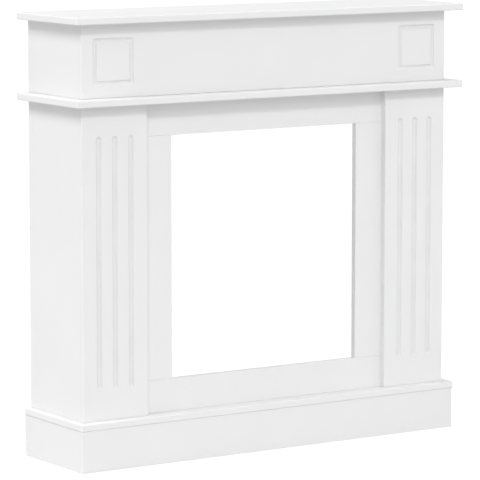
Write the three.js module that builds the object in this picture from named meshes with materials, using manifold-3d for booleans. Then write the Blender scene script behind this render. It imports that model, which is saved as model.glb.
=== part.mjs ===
import * as THREE from "three";
import { mergeVertices } from "three/addons/utils/BufferGeometryUtils.js";
import Module from "manifold-3d";

// Fireplace surround made of painted boards, free-standing, open at the back.
// Millimetres, +Z up, the front faces -Y. The origin is on the floor at the middle of the footprint.

// Boards
const boardThickness = 16;
const frameThickness = 15;
const shelfEdgeRadius = 2.5;
const cornerRadius = 2;
const mitreGap = 0.3;

// Body
const bodyWidth = 980;
const bodyDepth = 232;
const baseHeight = 93;
const pilasterHeight = 696;
const friezeHeight = 163;

// Shelves and base, measured from the body's faces
const shelfFrontOverhang = 33;
const shelfSideOverhang = 30;
const baseFrontStep = 20;
const baseSideStep = 15;
const capLip = 2;

// Pilasters and their flutes
const pilasterWidth = 168;
const fluteCount = 3;
const flutePitch = 41;
const fluteWidth = 13.5;
const fluteDepth = 4.5;
const fluteEndMargin = 68;

// Square grooves on the frieze
const squareInset = 35;
const squareDrop = 2;
const squareGrooveWidth = 10;
const squareGrooveDepth = 3.5;

// Frame round the fire opening
const openingWidth = 500;
const lintelHeight = 75;
const bottomRailHeight = 74;

// Smoothness of the round stretches
const arrisSteps = 4;
const edgeSteps = 3;
const cutterSides = 24;
const cutterCapSteps = 5;

// Levels from the floor up
const capBottom = baseHeight;
const bodyBottom = capBottom + boardThickness;
const midShelfBottom = bodyBottom + pilasterHeight;
const friezeBottom = midShelfBottom + boardThickness;
const topShelfBottom = friezeBottom + friezeHeight;

// Planes from front to back
const backPlane = (bodyDepth + shelfFrontOverhang) / 2;
const bodyFront = backPlane - bodyDepth;
const frameFront = bodyFront + boardThickness;
const bodySide = bodyWidth / 2;
const innerSide = bodySide - boardThickness;

const left = { name: "left", sign: -1 };
const right = { name: "right", sign: 1 };
const bothSides = [left, right];

const whitePaint = { color: 0xf1f1f0, roughness: 0.5, metalness: 0 };

const wasm = await Module();
wasm.setup();

// Joins shared corners and drops the slivers left at poles, so that the surface is one closed skin.
function closedSkin(geometry) {
  const bare = geometry.index ? geometry.toNonIndexed() : geometry.clone();
  bare.deleteAttribute("normal");
  bare.deleteAttribute("uv");
  const merged = mergeVertices(bare, 1e-4);
  const corners = merged.index.array;
  const kept = [];
  for (let i = 0; i < corners.length; i += 3) {
    const [a, b, c] = [corners[i], corners[i + 1], corners[i + 2]];
    if (a !== b && b !== c && c !== a) kept.push(a, b, c);
  }
  merged.setIndex(kept);
  return merged;
}

function toManifold(geometry) {
  const skin = closedSkin(geometry);
  return new wasm.Manifold(new wasm.Mesh({
    numProp: 3,
    vertProperties: new Float32Array(skin.attributes.position.array),
    triVerts: new Uint32Array(skin.index.array),
  }));
}

function fromManifold(solid) {
  const mesh = solid.getMesh();
  const geometry = new THREE.BufferGeometry();
  geometry.setAttribute("position", new THREE.BufferAttribute(mesh.vertProperties, 3));
  geometry.setIndex(new THREE.BufferAttribute(mesh.triVerts, 1));
  geometry.computeVertexNormals();
  return geometry;
}

// Points on a circle between two angles in degrees, both ends included.
function arc(cx, cy, radius, fromDegrees, toDegrees, steps) {
  const points = [];
  for (let i = 0; i <= steps; i += 1) {
    const angle = THREE.MathUtils.degToRad(fromDegrees + ((toDegrees - fromDegrees) * i) / steps);
    points.push(new THREE.Vector2(cx + radius * Math.cos(angle), cy + radius * Math.sin(angle)));
  }
  return points;
}

// A vertical board: its plan outline raised from one level to the next.
function uprightBoard(outline, bottom, height) {
  const settings = { depth: height, bevelEnabled: false };
  const geometry = new THREE.ExtrudeGeometry(new THREE.Shape(outline), settings);
  geometry.translate(0, 0, bottom);
  return geometry;
}

// A level board with rounded edges, between two planes in X and Y.
function levelBoard(halfWidth, front, back, bottom) {
  const outline = new THREE.Shape([
    new THREE.Vector2(-halfWidth, front),
    new THREE.Vector2(halfWidth, front),
    new THREE.Vector2(halfWidth, back),
    new THREE.Vector2(-halfWidth, back),
  ]);
  const geometry = new THREE.ExtrudeGeometry(outline, {
    depth: boardThickness - 2 * shelfEdgeRadius,
    bevelThickness: shelfEdgeRadius,
    bevelSize: shelfEdgeRadius,
    bevelOffset: -shelfEdgeRadius,
    bevelSegments: edgeSteps,
  });
  geometry.translate(0, 0, bottom + shelfEdgeRadius);
  return geometry;
}

function plainBoard(fromX, toX, front, thickness, bottom, height) {
  const geometry = new THREE.BoxGeometry(toX - fromX, thickness, height);
  geometry.translate((fromX + toX) / 2, front + thickness / 2, bottom + height / 2);
  return geometry;
}

// The mitred end of a front board, as distances in from the outer side face and back from the front face.
// It runs from the inner end of the mitre round the softened corner to the front face.
function mitreEnd() {
  const shift = mitreGap / Math.SQRT2;
  const turn = THREE.MathUtils.radToDeg(Math.asin(shift / (cornerRadius * Math.SQRT2)));
  const corner = arc(cornerRadius, cornerRadius, cornerRadius, 225 + turn, 270, arrisSteps);
  return [new THREE.Vector2(boardThickness + shift, boardThickness), ...corner];
}

// Plan outline of a front board mitred at both ends.
function twoMitresOutline(halfWidth, front) {
  const end = mitreEnd();
  const leftEnd = end.map((p) => new THREE.Vector2(p.x - halfWidth, front + p.y));
  const rightEnd = end.map((p) => new THREE.Vector2(halfWidth - p.x, front + p.y));
  return [...leftEnd, ...rightEnd.reverse()];
}

// Plan outline of a side board: mitred in front, square at the back.
function sideBoardOutline(sign, outerFace, front) {
  const end = mitreEnd().map((p) => new THREE.Vector2(p.y, p.x));
  const depth = backPlane - front;
  const local = [...end, new THREE.Vector2(0, depth), new THREE.Vector2(boardThickness, depth)];
  return local.map((p) => new THREE.Vector2(sign * (outerFace - p.x), front + p.y));
}

// Plan outline of a pilaster: mitred at the outer side, softened at the inner one.
function pilasterOutline(sign) {
  const inner = arc(pilasterWidth - cornerRadius, cornerRadius, cornerRadius, 270, 360, arrisSteps);
  const local = [...mitreEnd(), ...inner, new THREE.Vector2(pilasterWidth, boardThickness)];
  return local.map((p) => new THREE.Vector2(sign * (bodySide - p.x), bodyFront + p.y));
}

// What a round-nosed cutter takes out of the front face, along a straight line between two points.
// Its radius follows from the groove's width and depth.
function roundNosedCut(from, to, width, depth) {
  const radius = (width * width / 4 + depth * depth) / (2 * depth);
  const middleLine = bodyFront + depth - radius;
  const start = new THREE.Vector3(from.x, middleLine, from.z);
  const end = new THREE.Vector3(to.x, middleLine, to.z);
  const capsule = new THREE.CapsuleGeometry(radius, start.distanceTo(end), cutterCapSteps, cutterSides);
  const along = end.clone().sub(start).normalize();
  capsule.applyQuaternion(new THREE.Quaternion().setFromUnitVectors(new THREE.Vector3(0, 1, 0), along));
  capsule.translate((start.x + end.x) / 2, middleLine, (start.z + end.z) / 2);
  return toManifold(capsule);
}

// A board with its grooves cut out.
function grooved(board, cuts) {
  let solid = toManifold(board);
  for (const cut of cuts) solid = solid.subtract(cut);
  return fromManifold(solid);
}

const surround = new THREE.Group();

function addPiece(name, geometry) {
  const piece = new THREE.Mesh(closedSkin(geometry), new THREE.MeshStandardMaterial(whitePaint));
  piece.name = name;
  surround.add(piece);
}

function pilaster(sign) {
  const middle = sign * (bodySide - pilasterWidth / 2);
  const low = bodyBottom + fluteEndMargin + fluteWidth / 2;
  const high = midShelfBottom - fluteEndMargin - fluteWidth / 2;
  const flutes = [];
  for (let i = 0; i < fluteCount; i += 1) {
    const x = middle + (i - (fluteCount - 1) / 2) * flutePitch;
    flutes.push(roundNosedCut({ x, z: low }, { x, z: high }, fluteWidth, fluteDepth));
  }
  return grooved(uprightBoard(pilasterOutline(sign), bodyBottom, pilasterHeight), flutes);
}

function squareGroove(sign) {
  const outer = sign * (bodySide - squareInset);
  const side = friezeHeight - 2 * squareInset;
  const inner = outer - sign * side;
  const low = friezeBottom + squareInset - squareDrop;
  const high = low + side;
  const corners = [
    { x: outer, z: low },
    { x: outer, z: high },
    { x: inner, z: high },
    { x: inner, z: low },
  ];
  return corners.map((corner, i) =>
    roundNosedCut(corner, corners[(i + 1) % corners.length], squareGrooveWidth, squareGrooveDepth));
}

function shelves() {
  const halfWidth = bodySide + shelfSideOverhang;
  const front = bodyFront - shelfFrontOverhang;
  addPiece("top_shelf", levelBoard(halfWidth, front, backPlane, topShelfBottom));
  addPiece("mid_shelf", levelBoard(halfWidth, front, backPlane, midShelfBottom));
}

function friezeBox() {
  const panel = uprightBoard(twoMitresOutline(bodySide, bodyFront), friezeBottom, friezeHeight);
  addPiece("frieze_panel", grooved(panel, bothSides.flatMap(({ sign }) => squareGroove(sign))));
  for (const { name, sign } of bothSides) {
    const outline = sideBoardOutline(sign, bodySide, bodyFront);
    addPiece(`frieze_side_${name}`, uprightBoard(outline, friezeBottom, friezeHeight));
  }
}

function body() {
  for (const { name, sign } of bothSides) {
    addPiece(`pilaster_${name}`, pilaster(sign));
    const outline = sideBoardOutline(sign, bodySide, bodyFront);
    addPiece(`side_panel_${name}`, uprightBoard(outline, bodyBottom, pilasterHeight));
  }
}

function openingFrame() {
  const half = openingWidth / 2;
  const stileBottom = bodyBottom + bottomRailHeight;
  const stileTop = midShelfBottom - lintelHeight;
  const board = (fromX, toX, bottom, height) =>
    plainBoard(fromX, toX, frameFront, frameThickness, bottom, height);
  addPiece("lintel_rail", board(-innerSide, innerSide, stileTop, lintelHeight));
  addPiece("frame_stile_left", board(-innerSide, -half, stileBottom, stileTop - stileBottom));
  addPiece("frame_stile_right", board(half, innerSide, stileBottom, stileTop - stileBottom));
  addPiece("bottom_rail", board(-innerSide, innerSide, bodyBottom, bottomRailHeight));
}

function base() {
  const side = bodySide + baseSideStep;
  const front = bodyFront - baseFrontStep;
  addPiece("base_cap", levelBoard(side + capLip, front - capLip, backPlane, capBottom));
  addPiece("base_board_front", uprightBoard(twoMitresOutline(side, front), 0, baseHeight));
  for (const { name, sign } of bothSides) {
    addPiece(`base_board_${name}`, uprightBoard(sideBoardOutline(sign, side, front), 0, baseHeight));
  }
}

shelves();
friezeBox();
body();
openingFrame();
base();

export default surround;
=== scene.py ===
import math

import bmesh
import bpy
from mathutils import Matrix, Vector


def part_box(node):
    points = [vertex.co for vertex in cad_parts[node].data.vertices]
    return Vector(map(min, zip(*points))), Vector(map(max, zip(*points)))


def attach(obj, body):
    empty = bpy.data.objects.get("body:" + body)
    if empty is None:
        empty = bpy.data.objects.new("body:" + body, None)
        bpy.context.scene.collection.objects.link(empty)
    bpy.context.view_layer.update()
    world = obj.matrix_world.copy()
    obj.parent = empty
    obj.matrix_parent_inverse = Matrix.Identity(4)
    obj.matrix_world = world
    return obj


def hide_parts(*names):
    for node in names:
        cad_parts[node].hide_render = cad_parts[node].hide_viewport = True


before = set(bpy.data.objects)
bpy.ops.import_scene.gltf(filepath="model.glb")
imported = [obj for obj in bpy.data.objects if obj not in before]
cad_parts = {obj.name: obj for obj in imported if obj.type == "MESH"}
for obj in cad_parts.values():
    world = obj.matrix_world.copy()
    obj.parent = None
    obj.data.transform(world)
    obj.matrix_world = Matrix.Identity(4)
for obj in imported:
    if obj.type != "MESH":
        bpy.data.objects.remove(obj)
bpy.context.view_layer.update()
mm = 0.001
collection = bpy.context.scene.collection
print("frame loaded:", len(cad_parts), "boards")


# materials

# sRGB hex to linear
def fromHex(code):
    parts = [int(code[i:i + 2], 16) / 255 for i in (1, 3, 5)]
    return tuple(p / 12.92 if p <= 0.04045 else ((p + 0.055) / 1.055) ** 2.4 for p in parts) + (1.0,)


def perMetre(millimetres):
    return 1000 / millimetres


def emptyTree(owner):
    owner.use_nodes = True
    owner.node_tree.nodes.clear()
    return owner.node_tree


def addNode(tree, kind, settings, sockets):
    node = tree.nodes.new(kind)
    for key, value in settings.items():
        setattr(node, key, value)
    for key, value in sockets.items():
        if isinstance(value, bpy.types.NodeSocket):
            tree.links.new(value, node.inputs[key])
        else:
            node.inputs[key].default_value = value
    return node


# what all the paint has in common: detail and roughness of each pattern,
# and the stretch of the cloud pattern over which the tone and the sheen change
patterns = {"cloud": (3.0, 0.5), "speck": (4.0, 0.65), "skin": (2.0, 0.5), "wave": (1.0, 0.5)}
paint = {"toneFrom": 0.35, "toneTo": 0.65, "sheenFrom": 0.3, "sheenTo": 0.7, "ior": 1.5}


# white paint on fibreboard: two close tones, a patchy sheen and a fine skin in relief
def paintedBoard(name, look):
    material = bpy.data.materials.new(name)
    tree = emptyTree(material)
    place = addNode(tree, "ShaderNodeTexCoord", {}, {}).outputs["Object"]
    pattern = {}
    for part, (detail, roughness) in patterns.items():
        pattern[part] = addNode(tree, "ShaderNodeTexNoise", {}, {
            "Vector": place, "Scale": perMetre(look[f"{part}Size"]),
            "Detail": detail, "Roughness": roughness}).outputs["Fac"]
    tone = addNode(tree, "ShaderNodeMath", {"operation": "MULTIPLY_ADD"}, {
        0: pattern["speck"], 1: look["speckShare"], 2: pattern["cloud"]}).outputs[0]
    spread = addNode(tree, "ShaderNodeMapRange", {"interpolation_type": "SMOOTHSTEP"}, {
        "Value": tone, "From Min": paint["toneFrom"],
        "From Max": paint["toneTo"] + look["speckShare"]}).outputs[0]
    # sockets 6 and 7 are the mix's two colours, and output 2 is its colour
    colour = addNode(tree, "ShaderNodeMix", {"data_type": "RGBA"}, {
        0: spread, 6: fromHex(look["shade"]), 7: fromHex(look["light"])}).outputs[2]
    sheen = addNode(tree, "ShaderNodeMapRange", {}, {
        "Value": pattern["cloud"], "From Min": paint["sheenFrom"], "From Max": paint["sheenTo"],
        "To Min": look["roughness"] - look["roughnessSpread"],
        "To Max": look["roughness"] + look["roughnessSpread"]}).outputs[0]
    broad = addNode(tree, "ShaderNodeBump", {}, {
        "Height": pattern["wave"], "Strength": 1.0, "Distance": look["waveHeight"] * mm}).outputs[0]
    fine = addNode(tree, "ShaderNodeBump", {}, {
        "Height": pattern["skin"], "Strength": 1.0, "Distance": look["skinHeight"] * mm,
        "Normal": broad}).outputs[0]
    shader = addNode(tree, "ShaderNodeBsdfPrincipled", {}, {
        "Base Color": colour, "Roughness": sheen, "IOR": paint["ior"], "Normal": fine}).outputs[0]
    addNode(tree, "ShaderNodeOutputMaterial", {}, {"Surface": shader})
    return material


# satin lacquer sprayed on sanded fibreboard: smooth and evenly white, with a faint orange-peel skin
satinLacquer = paintedBoard("satinLacquerOnMdf", {
    "shade": "#e5e5e5", "light": "#e7e7e7",
    "cloudSize": 140, "speckSize": 9, "speckShare": 0.3,
    "roughness": 0.38, "roughnessSpread": 0.04,
    "skinSize": 2.4, "skinHeight": 0.015,
    "waveSize": 55, "waveHeight": 0.03})

# the same lacquer in a routed groove: the open fibres drink it, so it is duller and slightly rough; its
# darker tone is partly that duller paint and partly painted shade for the grooves' recesses
routedLacquerWithShade = paintedBoard("lacquerOnRoutedMdfPaintedShade", {
    "shade": "#dedede", "light": "#e4e4e4",
    "cloudSize": 60, "speckSize": 3, "speckShare": 0.6,
    "roughness": 0.62, "roughnessSpread": 0.06,
    "skinSize": 1.1, "skinHeight": 0.03,
    "waveSize": 18, "waveHeight": 0.03})

# one coat of primer on the sides that don't show: flat, thin, with the brown board showing through a little
backPrimer = paintedBoard("primerOnMdfBack", {
    "shade": "#d3cfc6", "light": "#e0deda",
    "cloudSize": 90, "speckSize": 2.2, "speckShare": 0.8,
    "roughness": 0.75, "roughnessSpread": 0.08,
    "skinSize": 1.6, "skinHeight": 0.04,
    "waveSize": 70, "waveHeight": 0.05})

finishes = [satinLacquer, routedLacquerWithShade, backPrimer]  # the first one covers all that isn't given another
routedShadeSlot = finishes.index(routedLacquerWithShade)
primerSlot = finishes.index(backPrimer)
print("materials ready")


# boards: every one is rebuilt on its node's own box, so places and sizes come from the frame

sides = [("Left", "left", -1), ("Right", "right", 1)]
wallSide = Vector((0, 1, 0))
roomSide = -wallSide

# how places, corners and faces are told apart: three lengths in mm, an angle in degrees,
# and how far a face's normal points to a side, from -1 to 1
limits = {"samePlace": 0.01, "sameCorner": 0.001, "inGroove": 0.05, "sharpEdge": 40,
          "squareTo": 0.9, "turnedAway": -0.1, "level": 0.5, "intoRoom": 0.2}


def newBlock(low, high):
    block = bmesh.new()
    bmesh.ops.create_cube(block, size=1)
    bmesh.ops.scale(block, vec=high - low, verts=block.verts)
    bmesh.ops.translate(block, vec=(low + high) / 2, verts=block.verts)
    return block


def near(a, b):
    return abs(a - b) < limits["samePlace"] * mm


def mergeCorners(block):
    bmesh.ops.remove_doubles(block, verts=block.verts, dist=limits["sameCorner"] * mm)


def roundEdges(block, edges, radius, steps):
    bmesh.ops.bevel(block, geom=edges, offset=radius * mm, offset_type="OFFSET", segments=steps,
                    profile=0.5, affect="EDGES", clamp_overlap=True, material=-1)


# the edges that stand upright at a place in plan
def uprightEdges(block, x, y):
    return [e for e in block.edges
            if all(near(v.co.x, x) and near(v.co.y, y) for v in e.verts)]


# the edges round a level end
def levelEdges(block, z):
    return [e for e in block.edges if all(near(v.co.z, z) for v in e.verts)]


# turns a bmesh into an object in the scene
def placeMesh(name, block):
    mesh = bpy.data.meshes.new(name)
    block.to_mesh(mesh)
    block.free()
    made = bpy.data.objects.new(name, mesh)
    collection.objects.link(made)
    return made


# gives a board its finishes, with primer on the faces that look to the hidden side, and puts it on its node
def finishPiece(name, node, block, hiddenSide=None):
    mergeCorners(block)
    bmesh.ops.recalc_face_normals(block, faces=block.faces)
    for face in block.faces:
        face.smooth = True
        if hiddenSide is not None and face.normal.dot(hiddenSide) > limits["squareTo"]:
            face.material_index = primerSlot
    for edge in block.edges:
        edge.smooth = edge.calc_face_angle(0) <= math.radians(limits["sharpEdge"])
    piece = placeMesh(name, block)
    for finish in finishes:
        piece.data.materials.append(finish)
    shading = piece.modifiers.new("evenShading", "WEIGHTED_NORMAL")
    shading.keep_sharp = True
    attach(piece, "root")
    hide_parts(node)


# shelves and the base's cap: level boards with rounded edges
shelfSizes = {"edgeRadius": 2.5, "edgeSteps": 4}


def shelfBoard(name, node, sizes):
    block = newBlock(*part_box(node))
    roundEdges(block, block.edges[:], sizes["edgeRadius"], sizes["edgeSteps"])
    finishPiece(name, node, block)


for name, node in [("topShelf", "top_shelf"), ("midShelf", "mid_shelf"), ("baseCap", "base_cap")]:
    shelfBoard(name, node, shelfSizes)
print("shelves made")


# corner joints: a front board and a side board meet at 45 degrees, with a thin line of glue between them
cornerSizes = {"radius": 2.0, "steps": 6, "ease": 1.0, "easeSteps": 3, "glueLine": 0.04}
# the frieze box is eased a little more, so that its joint with the shelf below is a crisp dark line
friezeSizes = {**cornerSizes, "ease": 1.5}

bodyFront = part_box("pilaster_left")[0].y  # face of the pilasters and the frieze
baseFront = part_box("base_board_front")[0].y


# where a side board's outer face is
def outerFace(node, sign):
    low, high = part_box(node)
    return low.x if sign < 0 else high.x


# cuts a board at 45 degrees through a corner in plan and closes the cut
def cutMitre(block, corner, outwards):
    bmesh.ops.bisect_plane(block, geom=block.verts[:] + block.edges[:] + block.faces[:],
                           plane_co=corner, plane_no=outwards, clear_outer=True)
    openEdges = [e for e in block.edges if e.is_boundary]
    bmesh.ops.holes_fill(block, edges=openEdges, sides=0)


# a front board brought out to the true corner at each outer side, rounded there and mitred
def mitredFront(node, outerSides, faceY, sizes):
    low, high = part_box(node)
    low.y = faceY
    for sign, outer in outerSides:
        if sign < 0:
            low.x = outer
        else:
            high.x = outer
    block = newBlock(low, high)
    for sign, outer in outerSides:
        roundEdges(block, uprightEdges(block, outer, faceY), sizes["radius"], sizes["steps"])
    for sign, outer in outerSides:
        corner = Vector((outer - sign * sizes["glueLine"] * mm, faceY, 0))
        cutMitre(block, corner, Vector((sign, 1, 0)))
    return block


# a side board brought forward to the true corner, rounded there and mitred
def mitredSide(node, sign, faceY, sizes):
    low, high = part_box(node)
    low.y = faceY
    outer = outerFace(node, sign)
    block = newBlock(low, high)
    roundEdges(block, uprightEdges(block, outer, faceY), sizes["radius"], sizes["steps"])
    corner = Vector((outer, faceY + sizes["glueLine"] * mm, 0))
    cutMitre(block, corner, Vector((-sign, -1, 0)))
    return block


# softens a board's two level ends where they show, so that a fine line marks each joint;
# the mitre stays sharp
def easeEnds(block, facing, sizes):
    block.normal_update()
    heights = [v.co.z for v in block.verts]
    ends = levelEdges(block, min(heights)) + levelEdges(block, max(heights))
    shown = [e for e in ends
             if any(abs(f.normal.z) < limits["level"] and f.normal.dot(facing) > limits["turnedAway"]
                    for f in e.link_faces)]
    roundEdges(block, shown, sizes["ease"], sizes["easeSteps"])


def sideBoards(name, node, faceY, sizes):
    for label, suffix, sign in sides:
        block = mitredSide(f"{node}_{suffix}", sign, faceY, sizes)
        easeEnds(block, Vector((sign, 0, 0)), sizes)
        finishPiece(f"{name}{label}", f"{node}_{suffix}", block, Vector((-sign, 0, 0)))


sideBoards("sidePanel", "side_panel", bodyFront, cornerSizes)
sideBoards("friezeSide", "frieze_side", bodyFront, friezeSizes)
sideBoards("baseBoard", "base_board", baseFront, cornerSizes)

baseSides = [(sign, outerFace(f"base_board_{suffix}", sign)) for _, suffix, sign in sides]
block = mitredFront("base_board_front", baseSides, baseFront, cornerSizes)
easeEnds(block, roomSide, cornerSizes)
finishPiece("baseBoardFront", "base_board_front", block, wallSide)
print("side boards and base made")


# grooves, all run into the face of the pilasters and the frieze by a round-nosed cutter

# from the flat face over the softened lip to the middle of the groove, as distance out and depth
def grooveProfile(cut):
    width, depth, lip = cut["width"], cut["depth"], cut["lip"]
    radius = (width * width / 4 + depth * depth) / (2 * depth)  # of the cutter's nose
    above = radius - depth  # how far its centre stays in front of the face
    lipOut = math.sqrt((radius + lip) ** 2 - (lip + above) ** 2)
    lean = math.atan2(lipOut, lip + above)
    points = [(lipOut + cut["rim"], 0.0)]
    for i in range(cut["lipSteps"] + 1):
        turn = lean * i / cut["lipSteps"]
        points.append((lipOut - lip * math.sin(turn), lip - lip * math.cos(turn)))
    for i in range(1, cut["steps"] + 1):
        turn = lean * (1 - i / cut["steps"])
        points.append((radius * math.sin(turn), radius * math.cos(turn) - above))
    return [(out * mm, deep * mm) for out, deep in points]


# takes the outer half of a groove round its corners: a turn at each, a straight run to the next
def routeRound(block, corners, profile, turn, turnSteps):
    start = corners[0]
    chain = [block.verts.new((start.x + out, start.y + deep, start.z)) for out, deep in profile]
    links = [block.edges.new(pair) for pair in zip(chain, chain[1:])]
    geom = chain + links
    for corner, following in zip(corners, corners[1:] + corners[:1]):
        spun = bmesh.ops.spin(block, geom=geom, cent=corner, axis=roomSide,
                              angle=turn, steps=turnSteps, use_merge=False)
        lastEdges = [g for g in spun["geom_last"] if isinstance(g, bmesh.types.BMEdge)]
        run = bmesh.ops.extrude_edge_only(block, edges=lastEdges)
        moved = [g for g in run["geom"] if isinstance(g, bmesh.types.BMVert)]
        bmesh.ops.translate(block, vec=following - corner, verts=moved)
        geom = moved + [g for g in run["geom"] if isinstance(g, bmesh.types.BMEdge)]


# the inner half of a square groove and the flat square inside it, by insets
def raiseMiddle(block, corners, profile):
    depth = profile[-1][1]
    rim = [block.verts.new((c.x, c.y + depth, c.z)) for c in corners]
    panel = block.faces.new(rim)
    panel.normal_update()
    if panel.normal.y > 0:
        panel.normal_flip()
    inwards = profile[::-1]
    for (out, deep), (nextOut, nextDeep) in zip(inwards, inwards[1:]):
        bmesh.ops.inset_region(block, faces=[panel], thickness=nextOut - out, depth=deep - nextDeep,
                               use_even_offset=True, use_boundary=True)


# takes out the flat front face, so that grooves can be run in its place
def openFace(block):
    flat = [f for f in block.faces if all(near(v.co.y, bodyFront) for v in f.verts)]
    bmesh.ops.delete(block, geom=flat, context="FACES_ONLY")


# fills the front face again round the grooves' rims, and gives the grooves their finish, whose darker tone
# is partly painted shade in the recesses
def closeFace(block):
    mergeCorners(block)
    rims = [e for e in block.edges if e.is_boundary and all(near(v.co.y, bodyFront) for v in e.verts)]
    bmesh.ops.triangle_fill(block, use_beauty=True, use_dissolve=False, edges=rims)
    bmesh.ops.recalc_face_normals(block, faces=block.faces)
    start = bodyFront + limits["inGroove"] * mm
    # faces inside the grooves take the routed lacquer: duller paint, with its darker tone partly painted
    # shade
    for face in block.faces:
        if face.calc_center_median().y > start and face.normal.dot(roomSide) > limits["intoRoom"]:
            face.material_index = routedShadeSlot


bodySides = {sign: outerFace(f"side_panel_{suffix}", sign) for _, suffix, sign in sides}


# pilasters: three flutes on the face, and the inner upright edge rounded
pilasterSizes = {"innerRadius": 2.0, "innerSteps": 5, "count": 3, "pitch": 41, "endMargin": 68,
                 "width": 13.5, "depth": 4.5, "lip": 1.6, "rim": 0.4,
                 "lipSteps": 6, "steps": 10, "turnSteps": 20}


def pilaster(name, node, sign, outer, sizes):
    low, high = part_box(node)
    inner = high.x if sign < 0 else low.x
    block = mitredFront(node, [(sign, outer)], bodyFront, cornerSizes)
    roundEdges(block, uprightEdges(block, inner, bodyFront), sizes["innerRadius"], sizes["innerSteps"])
    easeEnds(block, roomSide, cornerSizes)
    openFace(block)
    middle = (outer + inner) / 2
    reach = (sizes["endMargin"] + sizes["width"] / 2) * mm
    profile = grooveProfile(sizes)
    for i in range(sizes["count"]):
        x = middle + (i - (sizes["count"] - 1) / 2) * sizes["pitch"] * mm
        ends = [Vector((x, bodyFront, high.z - reach)), Vector((x, bodyFront, low.z + reach))]
        routeRound(block, ends, profile, math.pi, sizes["turnSteps"])
    closeFace(block)
    finishPiece(name, node, block, wallSide)


for label, suffix, sign in sides:
    pilaster(f"pilaster{label}", f"pilaster_{suffix}", sign, bodySides[sign], pilasterSizes)
print("pilasters made")


# frieze: a square groove near each end
squareSizes = {"inset": 35, "drop": 2, "width": 10, "depth": 3.5, "lip": 0.8, "rim": 0.4,
               "lipSteps": 4, "steps": 10, "turnSteps": 8}


def friezePanel(name, node, sizes):
    low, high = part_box(node)
    block = mitredFront(node, list(bodySides.items()), bodyFront, friezeSizes)
    easeEnds(block, roomSide, friezeSizes)
    openFace(block)
    inset = sizes["inset"] * mm
    half = (high.z - low.z) / 2 - inset
    centreZ = (low.z + high.z) / 2 - sizes["drop"] * mm
    profile = grooveProfile(sizes)
    turns = [(1, 1), (-1, 1), (-1, -1), (1, -1)]
    for sign, outer in bodySides.items():
        middle = Vector((outer - sign * (inset + half), bodyFront, centreZ))
        corners = [middle + Vector((x, 0, z)) * half for x, z in turns]
        routeRound(block, corners, profile, math.pi / 2, sizes["turnSteps"])
        raiseMiddle(block, corners, profile)
    closeFace(block)
    finishPiece(name, node, block, wallSide)


friezePanel("friezePanel", "frieze_panel", squareSizes)
print("frieze made")


# frame round the fire opening: plain boards, butted together
frameSizes = {"ease": 1.0, "easeSteps": 3}


def frameBoard(name, node, sizes):
    block = newBlock(*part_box(node))
    roundEdges(block, block.edges[:], sizes["ease"], sizes["easeSteps"])
    finishPiece(name, node, block, wallSide)


for name, node in [("lintelRail", "lintel_rail"), ("bottomRail", "bottom_rail"),
                   ("frameStileLeft", "frame_stile_left"), ("frameStileRight", "frame_stile_right")]:
    frameBoard(name, node, frameSizes)
print("opening frame made")


# floor, light and camera

# share is what the floor throws back and glow what it adds, once for the boards and once where it is seen
studio = {"floorHalf": 60, "floorShare": 0.52, "floorGlow": 0.19, "seenShare": 0.2, "seenGlow": 0.84,
          "skyLight": 0.29, "seenSky": 1.0}
# height above the horizon, turned left of the front, and width of the source, in degrees
lamps = {
    "keyLight": {"strength": 0.66, "height": 37.4, "turn": 0, "softness": 7},
    "frontHigh": {"strength": 0.28, "height": 60, "turn": 0, "softness": 40},
    "fillLeft": {"strength": 0.86, "height": 22, "turn": 34, "softness": 30},
    "fillRight": {"strength": 0.52, "height": 30, "turn": -55, "softness": 40},
    "leftSoftbox": {"strength": 1.78, "height": 47, "turn": 95, "softness": 26},
    "backSoftbox": {"strength": 0.7, "height": 20, "turn": 180, "softness": 50},
    "backGleam": {"strength": 0.3, "height": 12, "turn": -147, "softness": 50}}
# lens and sensor in mm, place and reach in m, turn and tilt in degrees
view = {"lens": 237.06, "sensor": 36, "reach": 200,
        "place": (-3.93835, -5.99966, 1.41747), "turn": 33.189, "tilt": 7.536}


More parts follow.
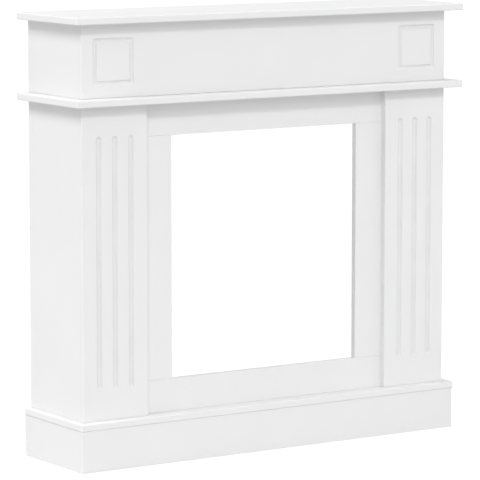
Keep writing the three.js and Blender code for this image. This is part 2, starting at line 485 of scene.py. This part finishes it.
# looked at straight, the paper is overexposed white; it throws back the light of plain matt paper
def paleFloor(settings):
    block = bmesh.new()
    bmesh.ops.create_grid(block, x_segments=1, y_segments=1, size=settings["floorHalf"])
    floor = placeMesh("floor", block)
    paper = bpy.data.materials.new("mattWhitePaper")
    tree = emptyTree(paper)
    straight = addNode(tree, "ShaderNodeLightPath", {}, {}).outputs["Is Camera Ray"]
    share = addNode(tree, "ShaderNodeMapRange", {}, {
        "Value": straight, "To Min": settings["floorShare"], "To Max": settings["seenShare"]}).outputs[0]
    strength = addNode(tree, "ShaderNodeMapRange", {}, {
        "Value": straight, "To Min": settings["floorGlow"], "To Max": settings["seenGlow"]}).outputs[0]
    matt = addNode(tree, "ShaderNodeBsdfDiffuse", {}, {"Color": share}).outputs[0]
    glow = addNode(tree, "ShaderNodeEmission", {}, {"Strength": strength}).outputs[0]
    both = addNode(tree, "ShaderNodeAddShader", {}, {0: matt, 1: glow}).outputs[0]
    addNode(tree, "ShaderNodeOutputMaterial", {}, {"Surface": both})
    floor.data.materials.append(paper)


# the room around gives an even light, and is white where it is looked at
def whiteRoom(settings):
    world = bpy.data.worlds.new("whiteRoom")
    bpy.context.scene.world = world
    tree = emptyTree(world)
    straight = addNode(tree, "ShaderNodeLightPath", {}, {}).outputs["Is Camera Ray"]
    strength = addNode(tree, "ShaderNodeMapRange", {}, {
        "Value": straight, "To Min": settings["skyLight"], "To Max": settings["seenSky"]}).outputs[0]
    white = addNode(tree, "ShaderNodeBackground", {}, {
        "Color": fromHex("#ffffff"), "Strength": strength}).outputs[0]
    addNode(tree, "ShaderNodeOutputWorld", {}, {"Surface": white})


# puts a lamp or a camera in the scene, turned left of the front and looking down, in degrees
def placeAimed(name, data, turn, down):
    made = bpy.data.objects.new(name, data)
    made.rotation_euler = (math.radians(90 - down), 0, -math.radians(turn))
    collection.objects.link(made)
    return made


def softLamp(name, lamp):
    light = bpy.data.lights.new(name, "SUN")
    light.energy = lamp["strength"]
    light.angle = math.radians(lamp["softness"])
    placeAimed(name, light, lamp["turn"], lamp["height"])


def photoCamera(settings):
    data = bpy.data.cameras.new("camera")
    data.lens = settings["lens"]
    data.sensor_width = settings["sensor"]
    data.clip_end = settings["reach"]
    camera = placeAimed("camera", data, settings["turn"], settings["tilt"])
    camera.location = settings["place"]
    return camera


paleFloor(studio)
for name, lamp in lamps.items():
    softLamp(name, lamp)
whiteRoom(studio)
bpy.context.scene.camera = photoCamera(view)
bpy.context.scene.view_settings.view_transform = "Standard"
bpy.context.scene.view_settings.look = "None"
print("studio ready")
